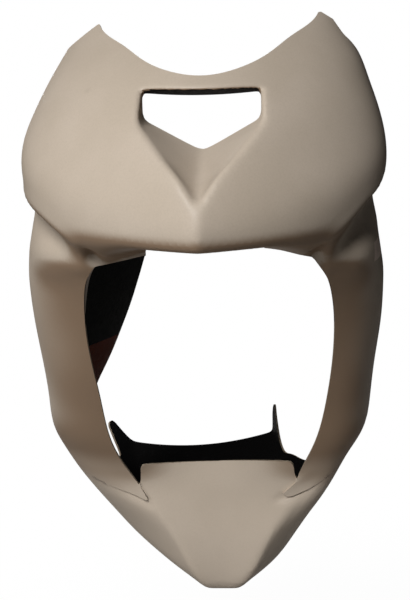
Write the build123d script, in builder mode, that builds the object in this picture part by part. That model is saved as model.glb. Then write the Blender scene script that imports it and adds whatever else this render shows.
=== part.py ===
import os

from build123d import *

# Bare one-piece fairing shell of a sport motorcycle, in glass fibre.
# Millimetres. X runs across, Y runs rearward from the nose, Z runs up from the chin of the belly.

# Laminate
wall = 3.0

# Nose cowl
cowl_half = 242.0
lip_height = 574.0
screen_height = 779.0
tip_height = 850.0
tip_half = 151.0
screen_tilt = 2.0
screen_shift = 5.0

# Legs and side panels
side_half = 241.0
side_lean = 8.0
opening_half = 169.0
notch_height = 173.0
leg_top = 536.0
web_half = 80.0
web_top = 549.0
web_reach = 150.0
web_front = 60.0
web_slope = 0.26
leg_foot = 343.0
leg_rake = 0.483
panel_back = 604.0
return_back = 218.0

# Belly pan
tongue_half = 110.0
tongue_top = 205.0
tongue_shift = 6.0
floor_front = 350.0
floor_rise = 0.195
tail_back = 780.0
tail_drift = 77.0
hole_length = 112.0
hole_width = 50.0
hole_centre = (452.0, 118.0)
hole_turn = -12.0

# Air intake
intake_half = 75.0
intake_back = 155.0
intake_top = 757.0
intake_keel = 685.0
intake_round = 7.0
intake_flare = 6.0
intake_roof_fall = 55.0
intake_keel_rise = 60.0

# The shell is drawn from the chin, then moved so that its datum, the intake mouth, is the origin.
datum = (0, intake_back, (intake_top + intake_keel) / 2)


def pushed_in(points, amount):
    """Move every point of an open line to its left, square to the line, and run its end on."""
    moved = []
    for i, (x, y) in enumerate(points):
        before = points[max(i - 1, 0)]
        after = points[min(i + 1, len(points) - 1)]
        run = Vector(after[0] - before[0], after[1] - before[1]).normalized()
        on = 4 * amount if after is points[i] else 0
        moved.append((x - run.Y * amount + run.X * on, y + run.X * amount + run.Y * on))
    return moved


def leg_line(height):
    """Depth of the front edge of the legs, which lean forward with the fork."""
    return leg_foot - leg_rake * (height - notch_height)


def body_level(height, edge, ridge, side, panel, tail, drift, shift=0.0, middle=None, inset=0.0):
    """Level line of the legs, side panels and belly: mirrored, but leaning and drifting to the left."""
    front = middle if middle is not None else edge[1] + 4.0

    def half(sign):
        line = [
            (edge[0] + sign * shift, edge[1]),
            (ridge[0] + sign * shift * 0.6, ridge[1]),
            (side[0] * side_half - sign * side[2] * side_lean, side[1]),
            (panel - sign * drift * tail_drift * 0.5, 560.0),
            ((panel + tail) / 2 - sign * drift * tail_drift * 0.75, 690.0),
            (tail - sign * drift * tail_drift, tail_back + 40.0),
        ]
        return [(sign * x, y) for x, y in pushed_in(line, inset)]

    right = half(1)
    left = half(-1)
    with BuildSketch(Plane.XY.offset(height)) as level:
        with BuildLine():
            Spline(right)
            Spline(left)
            Spline(right[0], (shift, front + inset), left[0])
            Line(right[-1], left[-1])
        make_face()
    return level.sketch


def body_levels(inset=0.0):
    """Level lines from below the chin up into the cowl."""
    low = inset * 0.3
    mid = tongue_shift
    return [
        body_level(-14 + low, (15, 345), (22, 362), (0.115, 388, -0.6), 34, 34, 0.0, mid, None, inset),
        body_level(25 + low, (40, 338), (62, 368), (0.36, 420, 0.2), 82, 72, 0.3, mid, None, inset),
        body_level(59 + low, (57, 336), (88, 370), (0.508, 430, 1.1), 114, 106, 0.5, mid, None, inset),
        body_level(92 + low, (74, 337), (110, 368), (0.608, 428, 1.6), 138, 128, 0.7, mid, None, inset),
        body_level(133 + low, (100, 341), (139, 360), (0.718, 416, 1.9), 150, 144, 0.9, mid, None, inset),
        body_level(175 + low, (116, 343), (166, 353), (0.818, 400, 2.0), 163, 150, 1.0, 2, 347, inset),
        body_level(215, (121, leg_line(215)), (182, 337), (0.898, 384, 1.9), 175, 152, 0.9, 0, 352, inset),
        body_level(245, (130, leg_line(245)), (192, 320), (0.943, 366, 1.6), 183, 150, 0.75, 0, 354, inset),
        body_level(300, (142, leg_line(300)), (196, 294), (0.96, 338, 1.2), 184, 125, 0.25, 0, 330, inset),
        body_level(355, (153, leg_line(355)), (198, 268), (0.97, 315, 1.1), 180, 100, -0.1, 0, None, inset),
        body_level(420, (159, leg_line(420)), (200, 241), (0.985, 288, 1), 173, 70, -0.4, 0, None, inset),
        body_level(480, (157, leg_line(480)), (201, 218), (0.99, 266, 1), 170, 58, -0.58, 0, None, inset),
        body_level(505, (153, leg_line(505)), (200, 208), (0.988, 259, 1), 169, 55, -0.62, 0, None, inset),
        body_level(525, (147, leg_line(525)), (200, 199), (0.984, 254, 1), 169, 54, -0.62, 0, None, inset),
        body_level(545, (138, 180), (199, 196), (0.978, 250, 1), 168, 52, -0.62, 0, None, inset),
        body_level(565, (129, 200), (194, 214), (0.965, 254, 1), 166, 51, -0.62, 0, None, inset),
        body_level(590, (122, 212), (188, 233), (0.938, 270, 1), 164, 50, -0.62, 0, None, inset),
        body_level(620, (117, 220), (182, 245), (0.9, 282, 1), 162, 50, -0.62, 0, None, inset),
        body_level(650, (112, 228), (175, 254), (0.87, 292, 1), 159, 50, -0.62, 0, None, inset),
        body_level(680 - inset, (108, 240), (168, 266), (0.84, 304, 1), 156, 50, -0.62, 0, None, inset),
    ]


def cowl_level(height, front, quarter, side, keel, lean, inset=0.0, drop=0.0):
    """Level line of the nose cowl: its centre depth, a quarter point and its widest point."""

    def half(sign):
        widest = side[0] * cowl_half - sign * lean * side_lean
        line = [
            (0, front),
            quarter,
            (widest, side[1]),
            (widest * 0.95 + sign * side_lean, side[1] + 130.0),
            (widest * 0.72 + sign * side_lean * 2.5, 560.0),
            (widest * 0.45 + sign * side_lean * 3.75, 680.0),
        ]
        points = pushed_in(line, inset)
        points[0] = (0, front + inset * 1.06)
        return [(sign * x, y) for x, y in points]

    right = half(1)
    left = half(-1)
    with BuildSketch(Plane.XY.offset(height - drop)) as level:
        with BuildLine():
            Spline(right, tangents=((1, keel), (-0.9, 1)))
            Spline(left, tangents=((-1, keel), (0.9, 1)))
            Line(right[-1], left[-1])
        make_face()
    return level.sketch


def cowl_levels(inset=0.0):
    """Level lines from below the lip to above the screen edge."""
    drop = inset * 0.6
    return [
        cowl_level(556, 34, (110, 98), (0.875, 232), 0.4, 0.6, inset),
        cowl_level(574, 9, (112, 72), (0.925, 230), 0.4, 0.6, inset),
        cowl_level(586, 2, (112, 63), (0.946, 230), 0.42, 0.6, inset),
        cowl_level(602, 0, (112, 60), (0.964, 231), 0.42, 0.6, inset),
        cowl_level(631, 7, (112, 64), (0.99, 233), 0.38, 0.7, inset),
        cowl_level(660, 20, (112, 78), (1.005, 238), 0.3, 0.8, inset, drop / 2),
        cowl_level(690, 42, (112, 98), (1.0, 255), 0.2, 0.8, inset, drop),
        cowl_level(733, 84, (110, 132), (0.948, 280), 0.08, 0.5, inset, drop),
        cowl_level(766, 127, (110, 170), (0.892, 300), 0, 0.25, inset, drop),
        cowl_level(792, 168, (110, 206), (0.842, 318), 0, 0, inset, drop),
        cowl_level(823, 226, (115, 262), (0.768, 343), 0, 0, inset, drop),
        cowl_level(850, 286, (118, 315), (0.7, 362), 0, 0, inset, drop),
        cowl_level(880, 350, (110, 375), (0.62, 385), 0, 0, inset, drop),
    ]


def below_cowl(rise=0.0):
    """Side view of all that lies below the cowl, up to the valley line."""
    with BuildSketch(Plane.YZ.offset(-400)) as side_view:
        with BuildLine():
            valley = Spline(
                (-60, lip_height + rise),
                (30, lip_height - 1 + rise),
                (100, lip_height - 7 + rise),
                (240, lip_height + 24 + rise),
                (430, lip_height + 66 + rise),
                (720, lip_height + 100 + rise),
            )
            Polyline(valley @ 1, (720, 400), (-60, 400), valley @ 0)
        make_face()
    return side_view.sketch


def above_web(inset=0.0):
    """Side view of the corner webs under the nose, whose floor slopes down to the legs."""
    with BuildSketch(Plane.YZ.offset(inset - web_reach)) as side_view:
        start = (web_front, lip_height + 1 + inset)
        back = return_back - 2 + inset * 4
        with BuildLine():
            Polyline(
                start,
                (back, start[1] - web_slope * (back - start[0])),
                (back, lip_height + 40),
                (start[0], lip_height + 40),
                start,
            )
        make_face()
    return side_view.sketch


def web_plan(inset=0.0):
    """Plan of the nose just above its lip, which bounds the corner webs."""
    return cowl_level(lip_height + 45, 11, (112, 75), (0.92, 232), 0.4, 0.6, inset)


def below_floor(rise=0.0):
    """Side view of all that lies below the flat floor of the belly, which rises towards the tail."""
    with BuildSketch(Plane.YZ.offset(-400)) as side_view:
        with BuildLine():
            chin = Spline(
                (floor_front - 16 + rise, 30 + rise),
                (floor_front - 7 + rise, 9 + rise),
                (floor_front + 8, rise - 3),
                (floor_front + 35, 35 * floor_rise + rise),
                tangents=((0.3, -1), (1, floor_rise)),
            )
            Polyline(
                chin @ 1,
                (900, (900 - floor_front) * floor_rise + rise),
                (900, -200),
                (100, -200),
                (100, 30 + rise),
                chin @ 0,
            )
        make_face()
    return side_view.sketch


def wheel_opening():
    """Front view of the opening between the legs, from the tongue up to the lip of the nose."""
    with BuildSketch(Plane.XZ) as front_view:
        with BuildLine():
            side = Spline(
                (tongue_half + 6, notch_height),
                (127, 202),
                (142, 240),
                (opening_half - 8, 328),
                (opening_half, 420),
                (opening_half - 4, 487),
                (opening_half - 11, 514),
                (opening_half - 25, leg_top),
            )
            Polyline(
                side @ 1,
                (web_half, web_top),
                (0, web_top),
                (0, tongue_top),
                (tongue_half, tongue_top),
                side @ 0,
            )
        make_face()
        fillet(front_view.vertices().sort_by_distance((tongue_half, tongue_top))[0], 7)
        mirror(about=Plane.YZ)
    return front_view.sketch


def nose_floor(height):
    """Plan of the hole under the nose, inside its turned-under lip."""
    with BuildSketch(Plane.XY.offset(height)) as plan:
        with BuildLine():
            rim = Spline((0, 24), (40, 33), (64, 52), (73, 90), (web_half - 2, 178))
            Polyline(rim @ 1, (web_reach + 2, return_back - 2), (web_reach + 2, 430), (0, 430), rim @ 0)
        make_face()
        mirror(about=Plane.YZ)
    return plan.sketch


def leg_return():
    """Front view of the flange that turns rearward along the top of each leg's inner edge."""
    with BuildSketch(Plane.XZ) as front_view:
        with BuildLine():
            outer = Spline(
                (opening_half + wall, 430),
                (opening_half - 4 + wall, 487),
                (opening_half - 11 + wall, 514),
                (opening_half - 25 + wall, leg_top),
            )
            Polyline(outer @ 1, (opening_half - 40, leg_top), (opening_half - 10, 430), outer @ 0)
        make_face()
        mirror(about=Plane.YZ)
    return front_view.sketch


def above_screen_edge():
    """Front view of all that lies above the screen edge and the shoulders."""
    with BuildSketch(Plane.XZ) as front_view:
        with BuildLine():
            edge = Spline(
                (0, screen_height),
                (42, screen_height + 6),
                (80, screen_height + 21),
                (113, screen_height + 42),
                (tip_half, tip_height),
                tangents=((1, 0), (0.45, 1)),
            )
            Polyline(edge @ 1, (190, tip_height - 26), (260, 780), (260, 1000), (0, 1000), edge @ 0)
        make_face()
        mirror(about=Plane.YZ)
    tilted = front_view.sketch.rotate(Axis((0, 0, screen_height), (0, -1, 0)), screen_tilt)
    return tilted.moved(Location((screen_shift, 0, 0)))


def behind_rear_edge():
    """Side view of all that lies behind the cowl, the side panels and the belly walls."""
    with BuildSketch(Plane.YZ.offset(-400)) as side_view:
        with BuildLine():
            panel = Spline((345, 822), (400, 757), (490, 665), (panel_back - 18, 550), (panel_back, 477))
            lower = Spline(panel @ 1, (panel_back - 8, 412), (574, 345), (518, 286), (468, 240))
            cutout = Spline(lower @ 1, (447, 202), (472, 168), (560, 142), (650, 118), (712, 120), (744, 146))
            tail = Spline(cutout @ 1, (762, 162), (775, 142), (tail_back, 70))
            Polyline(tail @ 1, (tail_back, -60), (900, -60), (900, 1000), (375, 1000), (375, 880), panel @ 0)
        make_face()
    return side_view.sketch


def intake_profile(depth, slant, grow=0.0):
    """Front view of the intake duct at one depth: a flat-topped shield over a keeled ramp."""
    ahead = 1 - (depth + 5) / (intake_back + 5)
    half = intake_half + intake_flare * ahead
    top = intake_top + intake_roof_fall * ahead
    keel = intake_keel - intake_keel_rise * ahead
    corner = keel + slant * half
    with BuildSketch(Plane.XZ.offset(-depth)) as front_view:
        with BuildLine():
            Polyline(
                (0, top + grow),
                (half + grow, top + grow),
                (half + grow * 0.9, corner - grow * 0.5),
                (0, keel - grow * 1.3),
                (0, top + grow),
            )
        make_face()
        mirror(about=Plane.YZ)
        fillet([v for v in front_view.vertices() if abs(v.X) > half / 2], intake_round + grow)
    return front_view.sketch


def intake_levels(grow=0.0):
    """The duct shrinks from a tall shield before the nose to the mouth behind it."""
    return [
        intake_profile(-5, 1.85, grow),
        intake_profile(25, 1.45, grow),
        intake_profile(45, 1.08, grow),
        intake_profile(75, 0.86, grow),
        intake_profile(104, 0.77, grow),
        intake_profile(intake_back, 0.56, grow),
    ]


with BuildPart() as web_space:
    extrude(above_web(wall), amount=2 * (web_reach - wall))
    extrude(web_plan(wall), amount=-120, mode=Mode.INTERSECT)

with BuildPart() as web_solid:
    extrude(above_web(), amount=2 * web_reach)
    extrude(web_plan(), amount=-120, mode=Mode.INTERSECT)

with BuildPart() as cowl_space:
    loft(cowl_levels(wall))
    extrude(below_cowl(wall), amount=800, mode=Mode.SUBTRACT)
    add(web_space.part)

with BuildPart() as body_space:
    loft(body_levels(wall))
    extrude(below_floor(wall), amount=800, mode=Mode.SUBTRACT)

with BuildPart() as cowl_solid:
    loft(cowl_levels())
    extrude(below_cowl(), amount=800, mode=Mode.SUBTRACT)
    add(web_solid.part)

with BuildPart() as cowl:
    add(cowl_solid.part)
    add(cowl_space.part, mode=Mode.SUBTRACT)
    extrude(above_screen_edge(), amount=-700, mode=Mode.SUBTRACT)
    extrude(behind_rear_edge(), amount=800, mode=Mode.SUBTRACT)
    add(body_space.part, mode=Mode.SUBTRACT)
    extrude(nose_floor(500), amount=140, mode=Mode.SUBTRACT)
    extrude(wheel_opening(), amount=-430, mode=Mode.SUBTRACT)

with BuildPart() as body_solid:
    loft(body_levels())
    extrude(below_floor(), amount=800, mode=Mode.SUBTRACT)

with BuildPart() as returns:
    extrude(leg_return(), amount=-return_back)
    add(body_solid.part, mode=Mode.INTERSECT)

with BuildPart() as body:
    add(body_solid.part)
    add(body_space.part, mode=Mode.SUBTRACT)
    add(returns.part)
    extrude(wheel_opening(), amount=-430, mode=Mode.SUBTRACT)
    extrude(behind_rear_edge(), amount=800, mode=Mode.SUBTRACT)
    extrude(nose_floor(leg_top), amount=240, mode=Mode.SUBTRACT)
    add(cowl_space.part, mode=Mode.SUBTRACT)
    with BuildSketch(Plane.YZ):
        with Locations((hole_centre[0], hole_centre[1])):
            SlotOverall(hole_length, hole_width, rotation=hole_turn)
    extrude(amount=300, mode=Mode.SUBTRACT)

with BuildPart() as duct_space:
    loft(intake_levels(), ruled=True)

with BuildPart() as duct:
    loft(intake_levels(wall), ruled=True)
    add(duct_space.part, mode=Mode.SUBTRACT)
    add(cowl_solid.part, mode=Mode.INTERSECT)

with BuildPart() as shell:
    add(body.part)
    add(cowl.part)
    add(duct_space.part, mode=Mode.SUBTRACT)
    add(duct.part)

fairing = shell.part.moved(Location((-datum[0], -datum[1], -datum[2])))
fairing.label = "fairing_shell"
os.makedirs("parts", exist_ok=True)
export_step(fairing, "parts/fairing_shell.step")
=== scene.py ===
import math

import bpy
import numpy as np
from mathutils import Matrix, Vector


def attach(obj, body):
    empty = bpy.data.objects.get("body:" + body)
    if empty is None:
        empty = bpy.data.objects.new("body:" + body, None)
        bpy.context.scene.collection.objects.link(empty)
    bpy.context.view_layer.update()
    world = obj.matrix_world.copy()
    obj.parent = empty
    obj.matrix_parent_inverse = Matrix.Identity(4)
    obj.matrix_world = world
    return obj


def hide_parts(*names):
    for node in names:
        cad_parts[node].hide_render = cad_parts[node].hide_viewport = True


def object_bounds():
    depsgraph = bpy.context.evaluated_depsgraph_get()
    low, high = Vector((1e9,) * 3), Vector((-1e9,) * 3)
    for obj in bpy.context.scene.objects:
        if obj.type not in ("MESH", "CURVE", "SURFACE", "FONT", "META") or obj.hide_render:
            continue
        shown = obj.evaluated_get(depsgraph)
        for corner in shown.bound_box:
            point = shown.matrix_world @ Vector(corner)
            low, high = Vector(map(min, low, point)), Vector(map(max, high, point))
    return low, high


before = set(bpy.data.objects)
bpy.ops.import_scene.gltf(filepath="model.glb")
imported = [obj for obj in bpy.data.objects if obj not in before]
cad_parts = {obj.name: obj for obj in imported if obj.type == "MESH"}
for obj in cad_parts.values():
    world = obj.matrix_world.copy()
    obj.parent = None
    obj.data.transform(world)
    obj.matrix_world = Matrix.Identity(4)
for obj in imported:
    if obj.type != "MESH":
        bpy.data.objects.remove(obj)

CAD_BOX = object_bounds()

# The moulding is drawn in millimetres from the chin of the belly: X across, Y rearward, Z up.
# DATUM is the middle of the intake's rear mouth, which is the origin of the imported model.
DATUM = np.array([0.0, 155.0, 721.0])
WALL = 3.0

# Spacing of the grid on which the form is worked out, and the tolerances of its skin
CELL = 4.9
SETTLE_PASSES = 4
SNAP_SHARE = 0.22
WELD_STEPS = 200  # per millimetre
EDGE_GAP = 0.4
CREASE_GAP = 0.05
SHARP_ANGLE = math.radians(55.0)

# Nose cowl
COWL_HALF = 242.0
LIP_HEIGHT = 574.0
SCREEN_HEIGHT = 779.0
TIP_HEIGHT = 850.0
TIP_HALF = 151.0
SCREEN_TILT = math.radians(2.0)
SCREEN_SHIFT = 5.0
COWL_MIDDLE = 430.0
CHEEK_DEPTH = 130.0
COWL_STATIONS = (560.0, 680.0)
COWL_REAR = [(0.95, 8.0), (0.72, 20.0), (0.45, 30.0)]  # share of the width, shift to the right
LEFT_CORNER_RISE = 27.0
RIGHT_CORNER_RISE = 38.0
CORNER_START = 140.0
CORNER_RUN = 80.0
COWL_EDGE_ROUND = 7.0
HOLE_FRONT = 24.0
HOLE_HALF = 152.0
HOLE_BACK = 430.0
HOLE_LOW = 510.0
HOLE_HIGH = 615.0

# Legs and side panels
SIDE_HALF = 241.0
SIDE_LEAN = 8.0
OPENING_HALF = 169.0
RIGHT_LOW = [(116.0, 173.0), (127.0, 202.0), (142.0, 240.0)]
LEFT_LOW = [(115.0, 166.0), (134.5, 199.0), (150.0, 240.0)]
LEFT_LEG = (144.0, 536.0)
LEFT_WEB = (80.0, 549.0)
RIGHT_LEG = (139.0, 545.0)
RIGHT_WEB = (98.0, 557.5)
WEB_SLOPE = 0.26
WEB_START = 128.0
WEB_RUN = 24.0
WEB_FRONT = 60.0
WEB_KEEL = 20.0
WEB_WIDTH = 90.0
WEB_STEEPEST = 1.15
RIDGE_SHIFT = 0.6
BODY_MIDDLE = 470.0
BODY_TOP = 676.0
FRONT_REACH = 430.0
STEP_DEPTH = 4.5
STEP_WIDTH = 16.0
STEP_LIFT = 3.5
STEP_FADE = 1.5
CREASE_SOFT = 12.0
FLAP_REGION = [(290, 230), (290, 400), (118, 400)]
FLAP_HALF = 95.0
FLAP_HEIGHT = 80.0
PANEL_BACK = 604.0
PANEL_STATION = 560.0
PANEL_DRIFT = 0.5
PANEL_LIMIT = 650.0
SHORTER_AT = [150, 206, 242, 286, 345, 412, 500]
SHORTER_BY = [0, 50, 85, 72, 42, 20, 0]
RETURN_BACK = 218.0
RETURN_LOW = 400.0

# Hollow between the nose and the shoulders: its size at the web, beside it, and lower down
VALLEY_TIGHT = 14.0
VALLEY_SOFT = 34.0
VALLEY_LOW = 30.0
VALLEY_HEIGHT = 660.0
VALLEY_FADE = 40.0
VALLEY_START = 132.0
VALLEY_RUN = 30.0

# Belly pan
TONGUE_HALF = 110.0
TONGUE_TOP = 203.5
RIGHT_TONGUE_RISE = 5.0
FLOOR_FRONT = 350.0
FLOOR_RISE = 0.195
TAIL_BACK = 780.0
TAIL_DRIFT = 77.0
TAIL_TILT = 0.09
TAIL_STATION = 690.0
TAIL_OVERRUN = 40.0
TAIL_BOW = 9.0
TAIL_TUCK = 1.3
MIDWAY_DRIFT = 0.75
LEAN_START, LEAN_RUN = 600.0, 120.0
HORN_WIDER = 24.0
HORN_START, HORN_RUN = 620.0, 60.0
HORN_END, HORN_FADE = 730.0, 45.0
FLOOR_EDGE_ROUND = 6.0
SAG_START = 450.0
SAG_DRIFT = 85.0
SAG_CURVE = 0.00095
SAG_LIMIT = 30.0
SLOT_MIDDLE = (450.0, 119.0)
SLOT_LENGTH = 116.0
SLOT_WIDTH = 50.0
SLOT_TURN = math.radians(-12.0)
SLOT_SIDE = 40.0

# Air intake
INTAKE_HALF = 75.0
INTAKE_BACK = 155.0
INTAKE_TOP = 757.0
INTAKE_KEEL = 685.0
INTAKE_ROUND = 7.0
INTAKE_FRONT = -5.0
INTAKE_FLARE = 6.0
ROOF_DROP = 3.0
ROOF_RISE = 45.0
ROOF_FLARE = 34.0
ROOF_ARCH = 4.0
KEEL_DROP = 59.6
KEEL_ROUND = 6.0
KEEL_SINK = 4.0
ROOF_ROUND = 6.0
RAMP_ROUND = 8.0
ROOF_GAP = 2.0
ROOF_FACING = -0.45
ROOF_BAND = 12.0
MOUTH_REACH = 12.0
MOUTH_SLACK = 2.5

# Slope of the intake ramp's two faces along its depth: depth, slope
RAMP_SLOPES = [
    (-20, 2.0), (-5, 1.85), (25, 1.45), (45, 1.08), (75, 0.86), (104, 0.77), (155, 0.56), (200, 0.5),
]

# Level lines of the legs, side panels and belly. Each row: height, front edge (x, y), ridge (x, y),
# side (share of SIDE_HALF, y, lean), panel and tail half widths, drift, shift, depth at the middle.
BODY_LEVELS = [
    (-14, 9, 347, 14, 362, 0.08, 386, -0.6, 30, 30, 0.0, 6, 350),
    (6, 25, 341, 39, 365, 0.235, 405, -0.2, 56, 52, 0.15, 6, 345),
    (25, 40, 338, 62, 368, 0.36, 420, 0.2, 82, 72, 0.3, 6, 342),
    (59, 57, 336, 88, 370, 0.508, 430, 1.1, 114, 106, 0.5, 6, 340),
    (92, 74, 337, 110, 368, 0.608, 428, 1.6, 138, 128, 0.7, 6, 341),
    (133, 100, 341, 139, 360, 0.708, 416, 2.15, 150, 144, 0.9, 6, 345),
    (175, 116, 343, 166, 353, 0.808, 400, 2.25, 163, 150, 1.0, 2, 347),
    (215, 121, 323, 182, 337, 0.893, 384, 2.0, 175, 152, 0.9, 0, 352),
    (245, 130, 308, 192, 320, 0.943, 366, 1.6, 183, 150, 0.75, 0, 354),
    (300, 142, 282, 196, 294, 0.96, 338, 1.2, 184, 125, 0.25, 0, 330),
    (355, 153, 255, 198, 268, 0.97, 315, 1.1, 180, 100, -0.1, 0, 259),
    (420, 159, 224, 200, 241, 0.985, 288, 1.0, 173, 70, -0.4, 0, 228),
    (480, 157, 191, 201, 214, 0.99, 265, 1.0, 170, 58, -0.58, 0, 195),
    (505, 153, 173, 200, 199, 0.988, 255, 1.0, 169, 55, -0.62, 0, 177),
    (525, 147, 158, 200, 184, 0.984, 247, 1.0, 169, 54, -0.62, 0, 162),
    (535, 142.5, 152, 199.5, 178, 0.981, 244, 1.0, 168.5, 53, -0.62, 0, 156),
    (545, 138, 154, 199, 176, 0.977, 243, 1.0, 168, 52, -0.62, 0, 158),
    (555, 133, 161, 197, 181, 0.968, 245, 1.0, 167, 51, -0.62, 0, 165),
    (565, 129, 170, 194, 191, 0.956, 249, 1.0, 166, 51, -0.62, 0, 174),
    (590, 122, 190, 186, 215, 0.925, 266, 1.0, 164, 50, -0.62, 0, 194),
    (620, 117, 208, 176, 238, 0.885, 282, 1.0, 162, 50, -0.62, 0, 212),
    (650, 112, 225, 166, 254, 0.84, 292, 1.0, 159, 50, -0.62, 0, 229),
    (680, 108, 240, 156, 266, 0.79, 304, 1.0, 156, 50, -0.62, 0, 244),
]

# Crease round the tip of each leg in front view: notch, tip, then outward.
LEG_CREASES = [
    [RIGHT_LOW[0], (91.5, 150.5), (110.5, 150.6), (135.7, 161.2), (173.4, 186.1), (220, 212)],
    [
        (-LEFT_LOW[0][0], LEFT_LOW[0][1]), (-102, 142.5), (-131.5, 153.7), (-159.7, 161.9),
        (-193.8, 172), (-240, 186),
    ],
]

# Level lines of the nose cowl. Each row: height, depth at the keel, quarter point (x, y),
# widest point (share of COWL_HALF, y), slope at the keel, lean.
COWL_LEVELS = [
    (556, 34, 110, 98, 0.875, 232, 0.4, 0.6),
    (574, 9, 112, 72, 0.925, 230, 0.4, 0.6),
    (586, 2, 112, 63, 0.946, 230, 0.42, 0.6),
    (602, 0, 112, 60, 0.964, 231, 0.42, 0.6),
    (631, 7, 112, 64, 0.99, 233, 0.38, 0.7),
    (660, 20, 112, 78, 1.005, 238, 0.3, 0.8),
    (690, 42, 112, 98, 1.0, 255, 0.2, 0.8),
    (733, 84, 110, 132, 0.948, 280, 0.08, 0.5),
    (766, 127, 110, 170, 0.892, 300, 0.0, 0.25),
    (792, 168, 110, 206, 0.842, 318, 0.0, 0.0),
    (823, 226, 115, 262, 0.768, 343, 0.0, 0.0),
    (850, 286, 118, 315, 0.7, 362, 0.0, 0.0),
    (880, 350, 110, 375, 0.62, 385, 0.0, 0.0),
]

# Places of marks in the finish: blemishes with their radius, the blank label, the lining's brown field.
# Then come the heights of the painted light on the belly, the heights of the painted shade on the
# undersides, and the range of the upward part of the normal over which that painted shade falls.
BLEMISHES = [((67, 140, 787), 6), ((-214, 190, 634), 5), ((-152, 190, 764), 9), ((-184, 200, 732), 5)]
LABEL_LOW, LABEL_HIGH = (221.5, 200, 525), (260, 290, 552)
BROWN_LOW, BROWN_HIGH = (-280, 200, 205), (-100, 640, 346)
MASK_EDGE = 1.5
PAINTED_LIGHT_HEIGHTS = (230, 195)
PAINTED_SHADE_HEIGHTS = (150, 190)
PAINTED_SHADE_FACING = (-0.05, -0.42)
LIGHT_AIM = (0, 200, 480)

# Studio, in metres
FLOOR_SIZE = 12.0
FLOOR_DROP = 0.35
SHADOW_NEAR, SHADOW_FAR = 0.5, 1.6
SHADOW_SHARE = 0.06
AMBIENT = 0.02


# Curves

def spline(knots, values, at, start=None, end=None):
    """Cubic spline through values at knots, natural at its ends or with given end slopes."""
    knots = np.asarray(knots, float)
    values = np.asarray(values, float).reshape(len(knots), -1)
    step = np.diff(knots)
    rise = np.diff(values, axis=0) / step[:, None]
    count = len(knots)
    system = np.zeros((count, count))
    target = np.zeros_like(values)
    for i in range(1, count - 1):
        system[i, i - 1:i + 2] = step[i - 1], 2 * (step[i - 1] + step[i]), step[i]
        target[i] = 6 * (rise[i] - rise[i - 1])
    system[0, 0] = system[-1, -1] = 1.0
    if start is not None:
        system[0, :2] = 2 * step[0], step[0]
        target[0] = 6 * (rise[0] - np.asarray(start))
    if end is not None:
        system[-1, -2:] = step[-1], 2 * step[-1]
        target[-1] = 6 * (np.asarray(end) - rise[-1])
    bend = np.linalg.solve(system, target)
    at = np.clip(np.asarray(at, float), knots[0], knots[-1])
    i = np.clip(np.searchsorted(knots, at) - 1, 0, count - 2)
    h = step[i][:, None]
    a = ((knots[i + 1] - at) / step[i])[:, None]
    b = 1 - a
    curve = a * values[i] + b * values[i + 1]
    return curve + ((a**3 - a) * bend[i] + (b**3 - b) * bend[i + 1]) * h * h / 6


def drawn(points, count, start=None, end=None):
    """Smooth curve through points in a plane."""
    points = np.asarray(points, float)
    run = np.concatenate([[0.0], np.cumsum(np.linalg.norm(np.diff(points, axis=0), axis=1))])
    return spline(run, points, np.linspace(0, run[-1], count), start, end)


def unit(vector):
    """Vector of length one in the same direction."""
    vector = np.asarray(vector, float)
    return vector / np.linalg.norm(vector)


def outside(polygon, u, v):
    """Signed distance in a plane to a closed outline, positive outside it."""
    best = np.full(u.shape, 1e12)
    crossings = np.zeros(u.shape, bool)
    for (u0, v0), (u1, v1) in zip(polygon, np.roll(polygon, -1, axis=0)):
        du, dv = u1 - u0, v1 - v0
        length = du * du + dv * dv
        if length < 1e-12:
            continue
        t = np.clip(((u - u0) * du + (v - v0) * dv) / length, 0, 1)
        best = np.minimum(best, (u - u0 - t * du) ** 2 + (v - v0 - t * dv) ** 2)
        spans = (v0 <= v) != (v1 <= v)
        if dv != 0:
            crossings ^= spans & (u < u0 + (v - v0) / dv * du)
    return np.where(crossings, -1, 1) * np.sqrt(best)


# Level lines of the two forms

def body_line(row):
    """Closed level line of the legs, panels and belly."""
    _, edge_x, edge_y, ridge_x, ridge_y, side, side_y, lean, panel, tail, drift, shift, middle = row

    def half(sign):
        drifted = sign * drift * TAIL_DRIFT
        bow = TAIL_BOW * max(drift, 0) if sign < 0 else 0
        points = [
            (edge_x + sign * shift, edge_y),
            (ridge_x + sign * shift * RIDGE_SHIFT, ridge_y),
            (side * SIDE_HALF - sign * lean * SIDE_LEAN, side_y),
            (panel - drifted * PANEL_DRIFT, PANEL_STATION),
            ((panel + tail) / 2 - drifted * MIDWAY_DRIFT + bow, TAIL_STATION),
            (tail - drifted - TAIL_TUCK * bow, TAIL_BACK + TAIL_OVERRUN),
        ]
        return drawn([(sign * x, y) for x, y in points], 160)

    right = half(1)
    left = half(-1)
    front = drawn([left[0], (shift, middle), right[0]], 40)
    return np.vstack([right, left[::-1], front[1:-1]])


def cowl_line(row):
    """Closed level line of the nose cowl."""
    _, front, quarter_x, quarter_y, side, side_y, keel, lean = row

    def half(sign):
        widest = side * COWL_HALF - sign * lean * SIDE_LEAN
        depths = (side_y + CHEEK_DEPTH, *COWL_STATIONS)
        rear = [(widest * share + sign * shift, depth) for (share, shift), depth in zip(COWL_REAR, depths)]
        points = [(0, front), (quarter_x, quarter_y), (widest, side_y), *rear]
        start = unit((sign, keel))
        end = unit((-0.9 * sign, 1))
        return drawn([(sign * x, y) for x, y in points], 200, start, end)

    return np.vstack([half(1), half(-1)[::-1][:-1]])


def radii(line, middle, bearings):
    """Reach of a closed line from a point inside it, in each bearing."""
    x, y = line[:, 0], line[:, 1] - middle
    angle = np.arctan2(y, x)
    order = np.argsort(angle)
    return np.interp(bearings, angle[order], np.hypot(x, y)[order], period=2 * math.pi)


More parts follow.
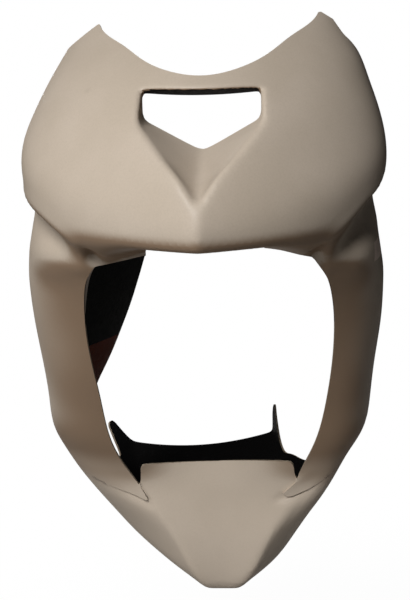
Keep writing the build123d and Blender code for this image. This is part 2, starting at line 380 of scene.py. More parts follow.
def lofted(levels, line, middle, grid):
    """Field of a form: distance outside its level lines, found slice by slice."""
    xs, ys, zs = grid
    table = np.array(levels, float)
    rows = spline(table[:, 0], table, zs)
    x, y = np.meshgrid(xs, ys, indexing="ij")
    bearing = np.arctan2(y - middle, x)
    reach = np.hypot(x, y - middle)
    field = np.empty((len(xs), len(ys), len(zs)), np.float32)
    for k, row in enumerate(rows):
        field[:, :, k] = reach - radii(line(row), middle, bearing.ravel()).reshape(bearing.shape)
    slope = np.sqrt(sum(g * g for g in np.gradient(field, *grid)))
    return field / np.maximum(slope, 0.3)


# Blends of fields

def joined(a, b, blend):
    """Union of two forms with a soft hollow where they meet."""
    h = np.maximum(blend - np.abs(a - b), 0) / blend
    return np.minimum(a, b) - h * h * blend / 4


def common(a, b, blend):
    """What two forms share, with a rounded edge."""
    return -joined(-a, -b, blend)


def softened(field):
    """Field averaged with its neighbours, which rounds every edge a little."""
    for axis in range(3):
        last = field.shape[axis] - 1
        before = np.concatenate([field.take([0], axis), field.take(range(last), axis)], axis)
        after = np.concatenate([field.take(range(1, last + 1), axis), field.take([last], axis)], axis)
        field = field * 0.5 + (before + after) * 0.25
    return field


def duct_field(x, y, z):
    """Distance outside the intake's passage: a flat-topped shield over a ramp with a soft keel."""
    forward = 1 - (y - INTAKE_FRONT) / (INTAKE_BACK - INTAKE_FRONT)
    half = INTAKE_HALF + INTAKE_FLARE * forward
    arch = (x / INTAKE_HALF) ** 2
    top = INTAKE_TOP - ROOF_DROP + (ROOF_RISE + ROOF_FLARE * arch) * forward + ROOF_ARCH * arch
    keel = INTAKE_KEEL - KEEL_DROP * forward
    ramp = drawn(RAMP_SLOPES, 80)
    slant = np.interp(y, ramp[:, 0], ramp[:, 1])
    soft = np.sqrt(x * x + KEEL_ROUND ** 2) - KEEL_SINK
    wedge = (keel + slant * soft - z) / np.sqrt(1 + slant * slant)
    return common(common(np.abs(x) - half, z - top, ROOF_ROUND), wedge, RAMP_ROUND)


def spaced(*stations):
    """Grid lines whose spacing changes smoothly between stations of (place, spacing)."""
    places, spacings = np.array(stations, float).T
    lines = [places[0]]
    while lines[-1] < places[-1]:
        lines.append(lines[-1] + np.interp(lines[-1], places, spacings))
    return np.array(lines)


def smooth(share):
    """Ease from 0 to 1."""
    share = np.clip(share, 0, 1)
    return share * share * (3 - 2 * share)


def floor_sag(x, y):
    """Rise of the belly's floor beside its drifting middle line, which grows toward the tail."""
    middle = -SAG_DRIFT * (y - FLOOR_FRONT) / (TAIL_BACK - FLOOR_FRONT)
    rise = np.minimum(SAG_CURVE * (x - middle) ** 2, SAG_LIMIT)
    return rise * smooth((y - SAG_START) / (TAIL_BACK - SAG_START))


def moulding_field(grid):
    """Field of the whole moulding, as if it were filled."""
    xs, ys, zs = grid
    x, y, z = np.meshgrid(xs, ys, zs, indexing="ij", sparse=True)
    valley = drawn([
        (-60, LIP_HEIGHT), (30, LIP_HEIGHT - 1), (100, LIP_HEIGHT - 7),
        (240, LIP_HEIGHT + 24), (430, LIP_HEIGHT + 66), (820, LIP_HEIGHT + 110),
    ], 200)
    web = smooth((np.abs(x) - WEB_START) / WEB_RUN)
    web_slope = WEB_SLOPE * np.clip((np.abs(x) - WEB_KEEL) / WEB_WIDTH, 0, WEB_STEEPEST)
    web_floor = LIP_HEIGHT + 1 - web_slope * np.maximum(y - WEB_FRONT, 0)
    corner = np.where(x > 0, RIGHT_CORNER_RISE, LEFT_CORNER_RISE)
    corner = corner * smooth((np.abs(x) - CORNER_START) / CORNER_RUN)
    under_cowl = web * (np.interp(y, valley[:, 0], valley[:, 1]) + corner) + (1 - web) * web_floor - z
    chin = drawn([
        (FLOOR_FRONT - 16, 30), (FLOOR_FRONT - 7, 9), (FLOOR_FRONT + 8, -3),
        (FLOOR_FRONT + 35, 35 * FLOOR_RISE),
    ], 60, unit((0.3, -1)), unit((1, FLOOR_RISE)))
    floor = np.vstack([[(100, 30)], chin, [(900, (900 - FLOOR_FRONT) * FLOOR_RISE)]])
    under_floor = np.interp(y, floor[:, 0], floor[:, 1]) + floor_sag(x, y) - z
    cowl = common(lofted(COWL_LEVELS, cowl_line, COWL_MIDDLE, grid), under_cowl, COWL_EDGE_ROUND)
    body = common(lofted(BODY_LEVELS, body_line, BODY_MIDDLE, grid), under_floor, FLOOR_EDGE_ROUND)
    body = common(body, z - BODY_TOP, 1.0)
    beside = VALLEY_SOFT + VALLEY_LOW * smooth((VALLEY_HEIGHT - z) / VALLEY_FADE)
    blend = VALLEY_TIGHT + beside * smooth((np.abs(x) - VALLEY_START) / VALLEY_RUN)
    form = softened(joined(cowl, body, blend).astype(np.float32))
    passage = np.maximum(duct_field(x, y, z), y - INTAKE_BACK - MOUTH_REACH)
    return common(form, -passage, INTAKE_ROUND).astype(np.float32)


# From the field to a skin

def sampled(array, grid, points):
    """Value of a field between its grid points."""
    place = []
    for axis in range(3):
        line = grid[axis]
        i = np.clip(np.searchsorted(line, points[:, axis]) - 1, 0, len(line) - 2)
        place.append((i, (points[:, axis] - line[i]) / (line[i + 1] - line[i])))
    (i, a), (j, b), (k, c) = place
    total = 0
    for di, wa in ((0, 1 - a), (1, a)):
        for dj, wb in ((0, 1 - b), (1, b)):
            for dk, wc in ((0, 1 - c), (1, c)):
                total = total + array[i + di, j + dj, k + dk] * wa * wb * wc
    return total


def skinned(field, grid):
    """Points and triangles of the field's zero surface, facing outward."""
    inside = field < 0
    cells = np.array(field.shape) - 1
    total = np.zeros(tuple(cells) + (3,), np.float32)
    count = np.zeros(tuple(cells), np.float32)
    corners = [(i, j, k) for i in (0, 1) for j in (0, 1) for k in (0, 1)]

    def corner(array, c):
        return array[c[0]:c[0] + cells[0], c[1]:c[1] + cells[1], c[2]:c[2] + cells[2]]

    for c in corners:
        for axis in range(3):
            if c[axis]:
                continue
            d = tuple(v + (n == axis) for n, v in enumerate(c))
            crossed = corner(inside, c) != corner(inside, d)
            f0, f1 = corner(field, c)[crossed], corner(field, d)[crossed]
            share = f0 / (f0 - f1)
            place = np.tile(np.array(c, np.float32), (len(share), 1))
            place[:, axis] += share
            total[crossed] += place
            count[crossed] += 1
    active = count > 0
    index = np.full(tuple(cells), -1)
    index[active] = np.arange(active.sum())
    base = np.argwhere(active)
    steps = base + total[active] / count[active][:, None]
    along = [np.interp(steps[:, n], np.arange(len(line)), line) for n, line in enumerate(grid)]
    points = np.stack(along, 1)

    quads = []
    for axis in range(3):
        u, v = (axis + 1) % 3, (axis + 2) % 3
        low = [slice(1, -1)] * 3
        low[axis] = slice(0, -1)
        high = list(low)
        high[axis] = slice(1, None)
        a, b = inside[tuple(low)], inside[tuple(high)]
        for leaving in (True, False):
            where = np.argwhere((a & ~b) if leaving else (~a & b))
            where += np.array([0 if n == axis else 1 for n in range(3)])
            ring = []
            for du, dv in ((-1, -1), (0, -1), (0, 0), (-1, 0)):
                cell = where.copy()
                cell[:, u] += du
                cell[:, v] += dv
                ring.append(index[tuple(cell.T)])
            ring = np.stack(ring, 1)
            quads.append(ring if leaving else ring[:, ::-1])
    quads = np.vstack(quads)
    triangles = np.vstack([quads[:, [0, 1, 2]], quads[:, [0, 2, 3]]])

    slopes = np.gradient(field, *grid)
    for _ in range(SETTLE_PASSES):
        value = sampled(field, grid, points)
        slope = np.stack([sampled(s, grid, points) for s in slopes], 1)
        square = np.maximum((slope * slope).sum(1), 0.05)
        points = points - np.clip(value / square, -2, 2)[:, None] * slope
    return points, triangles


def welded(points, triangles):
    """Skin with coinciding points made one and collapsed triangles left out."""
    _, first, back = np.unique(np.round(points * WELD_STEPS), axis=0, return_index=True, return_inverse=True)
    triangles = back.reshape(-1)[triangles]
    a, b, c = triangles.T
    triangles = triangles[(a != b) & (b != c) & (c != a)]
    used, back = np.unique(triangles, return_inverse=True)
    return points[first][used], back.reshape(-1, 3)


def edges_of(triangles):
    """All directed sides of the triangles, and which of them no other triangle shares."""
    edges = np.vstack([triangles[:, [0, 1]], triangles[:, [1, 2]], triangles[:, [2, 0]]])
    _, back, count = np.unique(np.sort(edges, 1), axis=0, return_inverse=True, return_counts=True)
    return edges, count[back.reshape(-1)] == 1


def snapped(points, triangles, value):
    """Points that nearly lie on the cut moved onto it along a side, so that no slivers arise."""
    edges, _ = edges_of(triangles)
    p, q = np.vstack([edges, edges[:, ::-1]]).T
    crossing = (value[p] > 0) != (value[q] > 0)
    p, q = p[crossing], q[crossing]
    share = value[p] / (value[p] - value[q])
    near = share < SNAP_SHARE
    p, q, share = p[near], q[near], share[near]
    order = np.argsort(-share)
    p, q, share = p[order], q[order], share[order]
    moved = points.copy()
    moved[p] = points[p] + share[:, None] * (points[q] - points[p])
    value = value.copy()
    value[p] = 0
    return moved, value


def trimmed(points, triangles, keep):
    """Skin cut along the line where keep is zero, without the side where it is negative."""
    points, value = snapped(points, triangles, keep(*points.T))
    good = value >= 0
    kept = good[triangles].sum(1)
    flat = (value[triangles] == 0).all(1)
    kept[flat] = np.where(keep(*points[triangles[flat]].mean(1).T) > 0, 3, 0)
    whole = triangles[kept == 3]
    cut = triangles[(kept == 1) | (kept == 2)]
    single = kept[(kept == 1) | (kept == 2)] == 1
    odd = np.where(single[:, None], good[cut], ~good[cut])
    first = odd.argmax(1)
    a, b, c = [cut[np.arange(len(cut)), (first + n) % 3] for n in range(3)]
    edges = np.sort(np.vstack([np.stack([a, b], 1), np.stack([a, c], 1)]), 1)
    unique, back = np.unique(edges, axis=0, return_inverse=True)
    back = back.reshape(-1)
    p, q = unique.T
    share = value[p] / (value[p] - value[q])
    added = points[p] + share[:, None] * (points[q] - points[p])
    ab = len(points) + back[:len(cut)]
    ac = len(points) + back[len(cut):]
    tip = np.stack([a, ab, ac], 1)[single]
    rest_1 = np.stack([ab, b, c], 1)[~single]
    rest_2 = np.stack([ab, c, ac], 1)[~single]
    return welded(np.vstack([points, added]), np.vstack([whole, tip, rest_1, rest_2]))


def flanged(points, triangles):
    """Skin with the inner edges of the legs turned rearward."""
    edges, free = edges_of(triangles)
    x, y, z = points.T
    on_edge = np.abs(off_opening(x, z)) < EDGE_GAP
    leg_top = np.where(x > 0, RIGHT_LEG[1], LEFT_LEG[1])
    on_edge &= (z > RETURN_LOW) & (z < leg_top + 0.5) & (y < RETURN_BACK - 1)
    turned = edges[free]
    turned = turned[on_edge[turned].all(1)]
    used, place = np.unique(turned, return_inverse=True)
    rear = points[used]
    rear[:, 1] = RETURN_BACK
    a, b = turned.T
    c, d = (len(points) + place.reshape(-1, 2)).T
    strip = np.vstack([np.stack([b, a, c], 1), np.stack([b, c, d], 1)])
    return np.vstack([points, rear]), np.vstack([triangles, strip])


def stepped(points, triangles, crease):
    """Skin with the tip of a leg lying as a flap over the flank, which sinks beside its crease."""
    notch, tip, outer = np.array(crease[:3], float)
    side = np.sign(tip[0])
    region = np.vstack([crease, [(side * x, z) for x, z in FLAP_REGION]])
    inward = unit(notch - tip)
    outward = unit(outer - tip)

    def above(x, y, z):
        """Positive on the flap, negative on the flank."""
        return np.minimum(-outside(region, x, z), FRONT_REACH - y)

    def near(x, z):
        """1 at the tip, 0 where the step has faded out."""
        return 1 - smooth(np.hypot((x - tip[0]) / FLAP_HALF, (z - tip[1]) / FLAP_HEIGHT))

    def sunk(place):
        """Points of the flank pushed rearward beside the crease."""
        x, y, z = place.T
        from_tip = np.stack([x, z], 1) - tip
        below = smooth(0.5 + from_tip @ (outward - inward) / CREASE_SOFT)
        beside = 1 - np.clip(outside(region, x, z) / STEP_WIDTH, 0, 1)
        depth = STEP_DEPTH * near(x, z) * below * beside ** STEP_FADE * (y < FRONT_REACH)
        return place + depth[:, None] * np.array([0, 1.0, 0])

    def lifted(place):
        """Points of the flap pulled forward beside its inner edge."""
        x, y, z = place.T
        across = np.abs((x - tip[0]) * inward[1] - (z - tip[1]) * inward[0])
        height = STEP_LIFT * near(x, z) * (1 - np.clip(across / STEP_WIDTH, 0, 1)) ** STEP_FADE
        return place - height[:, None] * np.array([0, 1.0, 0])

    flap, flap_faces = trimmed(points, triangles, above)
    flank, flank_faces = trimmed(points, triangles, lambda x, y, z: -above(x, y, z))
    flank_edges, flank_free = edges_of(flank_faces)
    rim = flank[np.unique(flank_edges[flank_free])]
    edges, free = edges_of(flap_faces)
    edges = edges[free]
    gap = np.linalg.norm(flap[edges][:, :, None] - rim, axis=-1).min(-1)
    a, b = edges[(gap < CREASE_GAP).all(1)].T
    shift = len(flap)
    wall = np.vstack([np.stack([b, a, a + shift], 1), np.stack([b, a + shift, b + shift], 1)])
    everything = np.vstack([lifted(flap), sunk(flap), sunk(flank)])
    faces = np.vstack([flap_faces, wall, flank_faces + 2 * shift])
    return welded(everything, faces)


def opening_outline(low, corner, web, leg):
    """Front view of one half of the wheel opening: low leg edge, tongue's corner height, web, leg top."""
    side = drawn([
        *low, (OPENING_HALF - 8, 328), (OPENING_HALF, 420), (OPENING_HALF - 4, 487),
        (OPENING_HALF - 11, 514), leg,
    ], 80)
    tongue = [
        (-10, TONGUE_TOP), (45, TONGUE_TOP * 0.6 + corner * 0.4), (TONGUE_HALF - 3, corner),
        (TONGUE_HALF + 1, corner - 2), (TONGUE_HALF + 3, corner - 9),
    ]
    return np.vstack([side, [web, (-10, web[1])], tongue])


def off_opening(x, z):
    """Distance outside the wheel opening in front view; its right half stands a little higher."""
    right = opening_outline(RIGHT_LOW, TONGUE_TOP + RIGHT_TONGUE_RISE, RIGHT_WEB, RIGHT_LEG)
    left = opening_outline(LEFT_LOW, TONGUE_TOP, LEFT_WEB, LEFT_LEG)
    return np.where(x > 0, outside(right, np.abs(x), z), outside(left, np.abs(x), z))


def nose_floor_outline():
    """Plan of the right half of the hole under the nose."""
    rim = drawn([(0, HOLE_FRONT), (40, 33), (64, 52), (73, 90), (LEFT_WEB[0] - 2, 178)], 50)
    rear = [(HOLE_HALF, 216), (HOLE_HALF, HOLE_BACK), (-10, HOLE_BACK)]
    return np.vstack([[(-10, HOLE_FRONT)], rim, rear])


def screen_outline():
    """Front view of all that lies above the screen edge and the shoulders."""
    edge = drawn([
        (0, SCREEN_HEIGHT), (42, SCREEN_HEIGHT + 6), (80, SCREEN_HEIGHT + 21),
        (113, SCREEN_HEIGHT + 42), (TIP_HALF, TIP_HEIGHT),
    ], 60, (1, 0), unit((0.45, 1)))
    half = np.vstack([edge, [(190, TIP_HEIGHT - 26), (270, 770), (270, 1000)]])
    left = half[::-1] * (-1, 1)
    outline = np.vstack([left[:-1], half])
    cosine, sine = math.cos(SCREEN_TILT), math.sin(SCREEN_TILT)
    turn = np.array([[cosine, sine], [-sine, cosine]])
    pivot = np.array([0, SCREEN_HEIGHT])
    return (outline - pivot) @ turn + pivot + (SCREEN_SHIFT, 0)


def rear_outline():
    """Side view of all that lies behind the cowl, the side panels and the belly walls."""
    panel = drawn([(345, 822), (400, 757), (490, 665), (PANEL_BACK - 18, 550), (PANEL_BACK, 477)], 60)
    lower = drawn([
        (PANEL_BACK, 477), (591, 430), (586, 380), (577, 331), (563, 286), (542, 242), (498, 206),
    ], 60)
    cutout = drawn([(498, 206), (458, 188), (476, 166), (560, 142), (650, 118), (712, 120), (744, 146)], 80)
    tail = drawn([(744, 146), (762, 162), (775, 142), (TAIL_BACK, 70)], 30)
    frame_corners = [(TAIL_BACK, -60), (900, -60), (900, 1000), (375, 1000), (375, 880)]
    return np.vstack([panel, lower[1:], cutout[1:], tail[1:], frame_corners])


def rear_place(x, y, z):
    """Place to look up in the rear outline: the right panel ends earlier, the left horn is wider."""
    right = np.interp(z, SHORTER_AT, SHORTER_BY) * (y < PANEL_LIMIT)
    left = HORN_WIDER * smooth((y - HORN_START) / HORN_RUN) * (1 - smooth((y - HORN_END) / HORN_FADE))
    lean = TAIL_TILT * x * smooth((y - LEAN_START) / LEAN_RUN)
    return y + np.where(x > 0, right, left), z - lean


def slot_outside(y, z):
    """Distance outside the slot in the right flank, in side view."""
    u = (y - SLOT_MIDDLE[0]) * math.cos(SLOT_TURN) + (z - SLOT_MIDDLE[1]) * math.sin(SLOT_TURN)
    v = -(y - SLOT_MIDDLE[0]) * math.sin(SLOT_TURN) + (z - SLOT_MIDDLE[1]) * math.cos(SLOT_TURN)
    straight = (SLOT_LENGTH - SLOT_WIDTH) / 2
    return np.hypot(np.maximum(np.abs(u) - straight, 0), v) - SLOT_WIDTH / 2


def moulding_skin():
    """Outer skin of the moulding with all its openings, in millimetres, and the way each point faces.

    The grid is finer round the intake's roof, and coarser along the panels and the tail.
    """
    grid = [
        np.arange(-272, 256, CELL),
        spaced((-12, CELL), (70, CELL), (100, CELL / 2), (160, CELL / 2), (185, CELL), (330, CELL),
               (450, 2 * CELL), (812, 2 * CELL)),
        spaced((-14, CELL), (200, CELL), (260, 1.6 * CELL), (470, 1.6 * CELL), (520, CELL), (725, CELL),
               (745, CELL / 2), (785, CELL / 2), (805, CELL), (880, CELL)),
    ]
    form = moulding_field(grid)
    points, triangles = skinned(form, grid)
    nose_floor = nose_floor_outline()
    screen = screen_outline()
    rear = rear_outline()
    cuts = [
        lambda x, y, z: outside(rear, *rear_place(x, y, z)),
        lambda x, y, z: outside(screen, x, z),
        lambda x, y, z: np.maximum(off_opening(x, z), y - FRONT_REACH),
        lambda x, y, z: np.maximum.reduce([outside(nose_floor, np.abs(x), y), z - HOLE_HIGH, HOLE_LOW - z]),
        lambda x, y, z: np.maximum(slot_outside(y, z), SLOT_SIDE - x),
        lambda x, y, z: np.maximum(duct_field(x, y, z) - MOUTH_SLACK, INTAKE_BACK - y),
    ]
    for keep in cuts:
        points, triangles = trimmed(points, triangles, keep)
    points, triangles = flanged(points, triangles)
    for crease in LEG_CREASES:
        points, triangles = stepped(points, triangles, crease)
    slopes = np.stack([sampled(g, grid, points) for g in np.gradient(form, *grid)], 1)
    facing = point_facing(points, slopes)
    facing /= np.maximum(np.linalg.norm(facing, axis=1), 1e-6)[:, None]
    return points, triangles, facing


def point_facing(points, slopes):
    """Facing of each point: along the form's slope, but into the opening on the turned edges."""
    facing = slopes.copy()
    rear = np.abs(points[:, 1] - RETURN_BACK) < 1e-6
    x, z = points[rear, 0], points[rear, 2]
    across = off_opening(x + 0.5, z) - off_opening(x - 0.5, z)
    upward = off_opening(x, z + 0.5) - off_opening(x, z - 0.5)
    facing[rear] = -np.stack([across, 0 * x, upward], 1)
    return facing


def walled(points, triangles, facing):
    """The skin with a wall behind it, and each face's finish: 0 gelcoat, 1 lining, 2 trimmed edge.

    The inner skin lies a wall's thickness behind the outer one, and a rim closes every trimmed edge.
    The roof of the intake takes the black lining as painted shade.
    """
    edges, free = edges_of(triangles)
    a, b = edges[free].T
    inner = points - facing * WALL
    count = len(points)
    rim = np.vstack([np.stack([b, a, a + count], 1), np.stack([b, a + count, b + count], 1)])
    faces = np.vstack([triangles, triangles[:, ::-1] + count, rim])
    kinds = np.repeat([0, 1, 2], [len(triangles), len(triangles), len(rim)])
    # Painted shade: the downward-facing roof of the intake gets the black lining.
    roof = np.abs(duct_field(*points.T)) < ROOF_GAP
    roof &= (facing[:, 2] < ROOF_FACING) & (points[:, 2] > INTAKE_TOP - ROOF_BAND)
    kinds[:len(triangles)][roof[triangles].all(1)] = 1
    return np.vstack([points, inner]), faces, kinds


# Shader expressions

class Wire:
    """A shader socket that can stand in a Python expression."""

    def __init__(self, finish, socket):
        self.finish = finish
        self.socket = socket

    def math(self, operation, a, b):
        """Add a Math node."""
        return self.finish.node("ShaderNodeMath", {"operation": operation}, {0: a, 1: b})

    def __add__(self, other):
        return self.math("ADD", self, other)

    def __radd__(self, other):
        return self.math("ADD", other, self)

    def __sub__(self, other):
        return self.math("SUBTRACT", self, other)

    def __rsub__(self, other):
        return self.math("SUBTRACT", other, self)

    def __mul__(self, other):
        return self.math("MULTIPLY", self, other)

    def __rmul__(self, other):
        return self.math("MULTIPLY", other, self)


class Finish:
    """A material under construction."""

    def __init__(self, name):
        self.material = bpy.data.materials.new(name)
        self.material.use_nodes = True
        self.tree = self.material.node_tree
        self.tree.nodes.clear()
        self.place = self.node("ShaderNodeTexCoord", {}, {}, "Object")

    def node(self, kind, settings, sockets, output=0):
        """Add a node: its settings first, then the values or links of its sockets."""
        node = self.tree.nodes.new(kind)
        for key, value in settings.items():
            setattr(node, key, value)
        for key, value in sockets.items():
            if isinstance(value, Wire):
                self.tree.links.new(value.socket, node.inputs[key])
            else:
                node.inputs[key].default_value = value
        return Wire(self, node.outputs[output])

    def noise(self, scale, detail, roughness=0.55, distortion=0.0):
        """Cloudy noise over the piece."""
        return self.node("ShaderNodeTexNoise", {}, {
            "Vector": self.place, "Scale": scale, "Detail": detail,
            "Roughness": roughness, "Distortion": distortion,
        })

    def ramp(self, value, low, high):
        """Smooth step from 0 at low to 1 at high."""
        return self.node("ShaderNodeMapRange", {"interpolation_type": "SMOOTHSTEP"}, {
            "Value": value, "From Min": low, "From Max": high,
        })

    def within(self, spot, radius):
        """Soft round mask at a point of the moulding."""
        ends = {0: self.place, 1: placed(spot)}
        offset = self.node("ShaderNodeVectorMath", {"operation": "DISTANCE"}, ends, "Value")
        return self.ramp(offset, radius / 1000, 0.4 * radius / 1000)

    def along(self, vector, axis):
        """One part of a vector."""
        return self.node("ShaderNodeSeparateXYZ", {}, {0: vector}, axis)

    def boxed(self, low, high):
        """Crisp mask of a box of the moulding between two corners."""
        edge = MASK_EDGE / 1000
        sides = []
        for axis, start, end in zip("XYZ", placed(low), placed(high)):
            place = self.along(self.place, axis)
            sides.append(self.ramp(place, start, start + edge) * self.ramp(place, end, end - edge))
        across, deep, tall = sides
        return across * deep * tall

    def level(self, heights):
        """Smooth step between two heights of the moulding."""
        start, end = (placed((0, 0, height))[2] for height in heights)
        return self.ramp(self.along(self.place, "Z"), start, end)

    def mix(self, factor, a, b):
        """Colour between two colours."""
        return self.node("ShaderNodeMix", {"data_type": "RGBA"}, {0: factor, 6: a, 7: b}, 2)

    def bump(self, height, strength, distance):
        """Normal raised by a height."""
        sockets = {"Height": height, "Strength": strength, "Distance": distance}
        return self.node("ShaderNodeBump", {}, sockets)

    def principled(self, **sockets):
        """Main shader, its sockets named with underscores."""
        named = {key.replace("_", " "): value for key, value in sockets.items()}
        return self.node("ShaderNodeBsdfPrincipled", {}, named)

    def finished(self, surface):
        """The material, with its surface joined to the output."""
        output = self.tree.nodes.new("ShaderNodeOutputMaterial")
        self.tree.links.new(surface.socket, output.inputs["Surface"])
        return self.material


def rgb(red, green, blue):
    """Linear colour from the 0 to 255 values seen on a screen."""
    linear = []
    for value in (red, green, blue):
        share = value / 255
        linear.append(share / 12.92 if share <= 0.04045 else ((share + 0.055) / 1.055) ** 2.4)
    return (*linear, 1.0)


def gelcoat():
    """Bare taupe gelcoat: satin, faintly mottled, with painted shade on its undersides, painted light on the
    belly, and rubbed patches.
    """
    f = Finish("taupe_gelcoat")
    cloud = f.ramp(f.noise(7.0, 4.0), 0.3, 0.7)
    speck = f.ramp(f.noise(420.0, 2.0), 0.35, 0.75)
    colour = f.mix(cloud, rgb(189, 175, 158), rgb(197, 183, 167))
    colour = f.mix(speck * 0.1, colour, rgb(140, 126, 110))
    upward = f.along(f.node("ShaderNodeTexCoord", {}, {}, "Normal"), "Z")
    # Painted shade: faces turned downward, above the belly, are darkened to a browner taupe.
    colour = f.mix(f.ramp(upward, *PAINTED_SHADE_FACING) * f.level(PAINTED_SHADE_HEIGHTS), colour, rgb(143, 120, 98))
    # Painted light: the belly below these heights is lightened.
    colour = f.mix(f.level(PAINTED_LIGHT_HEIGHTS) * 0.3, colour, rgb(216, 201, 183))
    for spot, radius in BLEMISHES:
        colour = f.mix(f.within(spot, radius) * 0.22, colour, rgb(150, 135, 118))
    colour = f.mix(f.boxed(LABEL_LOW, LABEL_HIGH), colour, rgb(236, 216, 202))
    rubbed = f.ramp(f.noise(16.0, 5.0, 0.6), 0.5, 0.75)
    roughness = 0.46 + rubbed * 0.1 - cloud * 0.04
    peel = f.noise(260.0, 2.0) * 0.6 + f.noise(60.0, 2.0) * 0.4
    return f.finished(f.principled(
        Base_Color=colour,
        Roughness=roughness,
        Specular_IOR_Level=0.3,
        Normal=f.bump(peel, 0.05, 0.002),
    ))


def black_lining():
    """Black laminate on the inside, with the coarse weave of its mat."""
    f = Finish("black_lining")
    strands = f.ramp(f.noise(180.0, 4.0, 0.7, 1.5), 0.35, 0.7)
    colour = f.mix(strands, rgb(8, 7, 7), rgb(15, 14, 14))
    brown = f.mix(strands, rgb(140, 70, 52), rgb(158, 82, 60))
    colour = f.mix(f.boxed(BROWN_LOW, BROWN_HIGH), colour, brown)
    return f.finished(f.principled(
        Base_Color=colour,
        Roughness=0.55 + strands * 0.2,
        Specular_IOR_Level=0.25,
        Normal=f.bump(strands, 0.3, 0.002),
    ))


def raw_edge():
    """Trimmed edge of the laminate: pale resin with darker fibres."""
    f = Finish("raw_edge")
    fibres = f.ramp(f.noise(300.0, 3.0, 0.6, 0.8), 0.35, 0.7)
    colour = f.mix(fibres, rgb(150, 136, 118), rgb(112, 98, 82))
    return f.finished(f.principled(
        Base_Color=colour,
        Roughness=0.6 + fibres * 0.15,
        Normal=f.bump(fibres, 0.25, 0.001),
    ))


def placed(point):
    """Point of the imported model, in metres, from millimetres above the chin."""
    return (np.asarray(point, float) - DATUM) / 1000


def fairing_moulding():
    """The one moulding: outer skin thickened inward, with its lining and trimmed edges."""
    points, triangles, kinds = walled(*moulding_skin())
    mesh = bpy.data.meshes.new("fairing_moulding")
    mesh.from_pydata(placed(points).tolist(), [], triangles.tolist())
    mesh.polygons.foreach_set("material_index", kinds.astype(np.int32))
    mesh.update()
    for material in (gelcoat(), black_lining(), raw_edge()):
        mesh.materials.append(material)
    mesh.shade_smooth()
    mesh.set_sharp_from_angle(angle=SHARP_ANGLE)
    piece = bpy.data.objects.new("fairing_moulding", mesh)
    bpy.context.scene.collection.objects.link(piece)
    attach(piece, "root")
    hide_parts("fairing_shell")


# Studio

def studio_floor():
    """Plain pale floor well below the moulding.

    It is white to the camera apart from the shadow, and dark enough to throw little light back.
    """
    corners = [(x * FLOOR_SIZE, y * FLOOR_SIZE, 0) for x, y in ((-1, -1), (1, -1), (1, 1), (-1, 1))]
    mesh = bpy.data.meshes.new("studio_floor")
    mesh.from_pydata(corners, [], [(0, 1, 2, 3)])
    floor = bpy.data.objects.new("studio_floor", mesh)
    floor.location = (0, 0, CAD_BOX[0][2] - FLOOR_DROP)
    bpy.context.scene.collection.objects.link(floor)
    f = Finish("studio_white")
    grain = f.ramp(f.noise(3.0, 2.0), 0.3, 0.7)
    dark = f.mix(grain, (0.26, 0.25, 0.24, 1), (0.3, 0.29, 0.28, 1))
    shaded = f.principled(Base_Color=dark, Roughness=1.0, Specular_IOR_Level=0.0)
    white = f.mix(grain, (0.86, 0.86, 0.86, 1), (0.9, 0.9, 0.9, 1))
    pale = f.principled(Base_Color=white, Roughness=1.0, Specular_IOR_Level=0.0)
    lit = f.node("ShaderNodeEmission", {}, {"Color": (1, 1, 1, 1), "Strength": 1.0})
    distance = f.node("ShaderNodeVectorMath", {"operation": "LENGTH"}, {0: f.place}, "Value")
    glow = (1 - SHADOW_SHARE) + f.ramp(distance, SHADOW_NEAR, SHADOW_FAR) * SHADOW_SHARE
    seen = f.node("ShaderNodeMixShader", {}, {0: glow, 1: pale, 2: lit})
    camera_ray = f.node("ShaderNodeLightPath", {}, {}, "Is Camera Ray")
    surface = f.node("ShaderNodeMixShader", {}, {0: camera_ray, 1: shaded, 2: seen})
    mesh.materials.append(f.finished(surface))


def studio_world():
    """White to the camera, a weak even light to the moulding."""
    world = bpy.data.worlds.new("studio_world")
    world.use_nodes = True
    bpy.context.scene.world = world
    tree = world.node_tree
    background = tree.nodes["Background"]
    background.inputs["Color"].default_value = (1, 1, 1, 1)
    path = tree.nodes.new("ShaderNodeLightPath")
    strength = tree.nodes.new("ShaderNodeMapRange")
    strength.inputs["To Min"].default_value = AMBIENT
    strength.inputs["To Max"].default_value = 1.0
    tree.links.new(path.outputs["Is Camera Ray"], strength.inputs["Value"])
    tree.links.new(strength.outputs["Result"], background.inputs["Strength"])


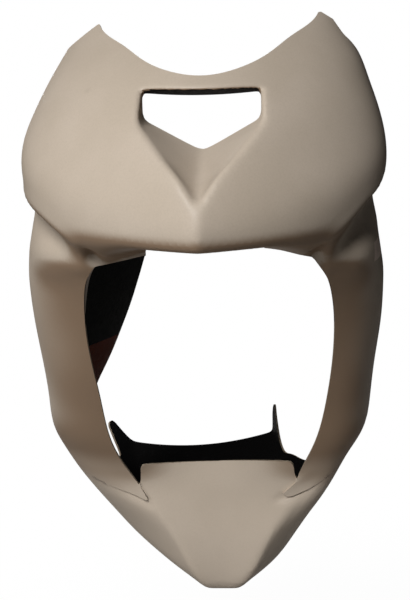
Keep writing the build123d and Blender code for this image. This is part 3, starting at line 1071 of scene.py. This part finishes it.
def facing_matrix(right, up, back, place):
    """Placement of a lamp or camera that looks away from back."""
    return Matrix([(right[n], up[n], back[n], place[n]) for n in range(3)] + [(0, 0, 0, 1)])


def soft_lamp(name, place, aim, size, power):
    """Round lamp at a place, turned to its aim."""
    lamp = bpy.data.lights.new(name, "AREA")
    lamp.shape = "DISK"
    lamp.size = size
    lamp.energy = power
    light = bpy.data.objects.new(name, lamp)
    back = unit(np.asarray(place) - np.asarray(aim))
    right = unit(np.cross((0, 0, 1), back))
    up = np.cross(back, right)
    light.matrix_world = facing_matrix(right, up, back, place)
    bpy.context.scene.collection.objects.link(light)
    return light


def studio_lamps():
    """Key lamp from the upper left front, a weak one from the left, and one behind with no glare."""
    aim = placed(LIGHT_AIM)
    soft_lamp("key_lamp", aim + np.array([-0.88, -2.36, 2.12]), aim, size=1.5, power=101.0)
    soft_lamp("left_lamp", aim + np.array([-2.7, -1.3, -0.1]), aim, size=1.2, power=13.0)
    rear = soft_lamp("rear_lamp", aim + np.array([-1.1, 2.7, 0.7]), aim, size=1.0, power=70.0)
    rear.visible_glossy = False


def photo_camera():
    """Camera at the photograph's place: a little to the right, above, and rolled."""
    azimuth, elevation, roll = math.radians(3.4), math.radians(12.0), math.radians(1.28)
    aim = placed((7.9, 0, 523))
    distance = 1.6
    focus_pixels, picture_height = 1352.0, 600.0
    flat = math.cos(elevation)
    back = np.array([math.sin(azimuth) * flat, -math.cos(azimuth) * flat, math.sin(elevation)])
    level = np.array([math.cos(azimuth), math.sin(azimuth), 0])
    upright = np.cross(back, level)
    right = level * math.cos(roll) - upright * math.sin(roll)
    up = upright * math.cos(roll) + level * math.sin(roll)
    eye = aim + back * distance
    data = bpy.data.cameras.new("photo_camera")
    data.sensor_width = 36.0
    data.lens = focus_pixels * data.sensor_width / picture_height
    camera = bpy.data.objects.new("photo_camera", data)
    camera.matrix_world = facing_matrix(right, up, back, eye)
    bpy.context.scene.collection.objects.link(camera)
    bpy.context.scene.camera = camera


fairing_moulding()
studio_floor()
studio_world()
studio_lamps()
photo_camera()
bpy.context.scene.view_settings.view_transform = "Standard"
